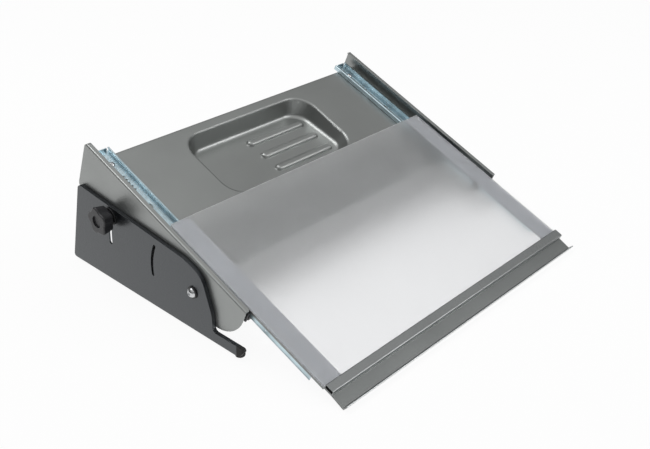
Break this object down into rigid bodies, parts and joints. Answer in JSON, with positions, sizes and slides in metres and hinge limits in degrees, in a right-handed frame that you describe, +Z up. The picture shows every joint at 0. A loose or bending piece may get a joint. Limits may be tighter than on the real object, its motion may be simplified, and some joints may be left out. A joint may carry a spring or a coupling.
{
  "type": "document holder with drawer",
  "caption": "Tilting desktop document holder: steel side stands, grey sloped body with a pressed pen tray and a frosted writing board that slides out on drawer runners over a front ledge.",
  "frame": {"origin": "centre of the footprint, on the desk that the feet stand on", "axes": "+X to the right of the seated user, +Y away from the user towards the high rear edge, +Z up"},
  "size_m": [0.5764, 0.5086, 0.1934],
  "materials": {
    "grey_steel": "fine-texture grey powder coat",
    "bar_grey": "satin grey coated aluminium tube",
    "black_steel": "satin black powder coat",
    "runner_zinc": "bright zinc plated, rolled",
    "zinc": "zinc plated",
    "ball_steel": "polished bearing balls",
    "black_washer": "moulded black nylon",
    "black_plastic": "moulded black nylon",
    "knob_plastic": "moulded black, fine eroded texture",
    "foot_rubber": "moulded rubber",
    "frosted_acrylic": "frosted acrylic, fine satin on both faces"
  },
  "bodies": {
    "stand_base": {"left_stand": "black_steel", "right_stand": "black_steel", "stand_feet": "foot_rubber", "foot_rivets": "zinc", "pivot_axle": "zinc", "pivot_bolts": "zinc", "pivot_washers": "black_washer", "pivot_spacers": "black_washer"},
    "desk_body": {"left_cheek": "grey_steel", "right_cheek": "grey_steel", "top_plate": "grey_steel", "left_runner_fixed": "runner_zinc", "right_runner_fixed": "runner_zinc", "runner_screws": "zinc", "runner_bumpers": "black_plastic", "clamp_studs": "zinc", "clamp_spacers": "black_plastic", "clamp_washers": "black_washer"},
    "left_knob_body": {"left_knob": "knob_plastic"},
    "right_knob_body": {"right_knob": "knob_plastic"},
    "board_carriage": {"writing_board": "frosted_acrylic", "board_frame": "grey_steel", "ledge_bar": "bar_grey", "ledge_screws": "zinc", "left_runner_moving": "runner_zinc", "right_runner_moving": "runner_zinc", "carrier_rivets": "zinc"},
    "left_cage_body": {"left_cage": "black_plastic", "left_balls": "ball_steel"},
    "right_cage_body": {"right_cage": "black_plastic", "right_balls": "ball_steel"}
  },
  "joints": [
    {"name": "desk_tilt", "type": "hinge", "parent": "stand_base", "child": "desk_body", "pos_m": [0, -0.01327, 0.0617], "axis": [1, 0, 0], "range_deg": [-14.2, 0]},
    {"name": "board_slide", "type": "slide", "parent": "desk_body", "child": "board_carriage", "axis": [0, 0.9253, 0.3791], "range_m": [0, 0.165]},
    {"name": "left_cage_slide", "type": "slide", "parent": "desk_body", "child": "left_cage_body", "axis": [0, 0.9253, 0.3791], "range_m": [0, 0.0825]},
    {"name": "right_cage_slide", "type": "slide", "parent": "desk_body", "child": "right_cage_body", "axis": [0, 0.9253, 0.3791], "range_m": [0, 0.0825]},
    {"name": "left_knob_turn", "type": "hinge", "parent": "desk_body", "child": "left_knob_body", "pos_m": [-0.28, 0.15018, 0.10697], "axis": [-1, 0, 0], "range_deg": [0, 180]},
    {"name": "right_knob_turn", "type": "hinge", "parent": "desk_body", "child": "right_knob_body", "pos_m": [0.28, 0.15018, 0.10697], "axis": [1, 0, 0], "range_deg": [0, 180]}
  ],
  "couplings": [
    {"joint": "left_cage_slide", "follows": "board_slide", "ratio": 0.5},
    {"joint": "right_cage_slide", "follows": "board_slide", "ratio": 0.5}
  ]
}
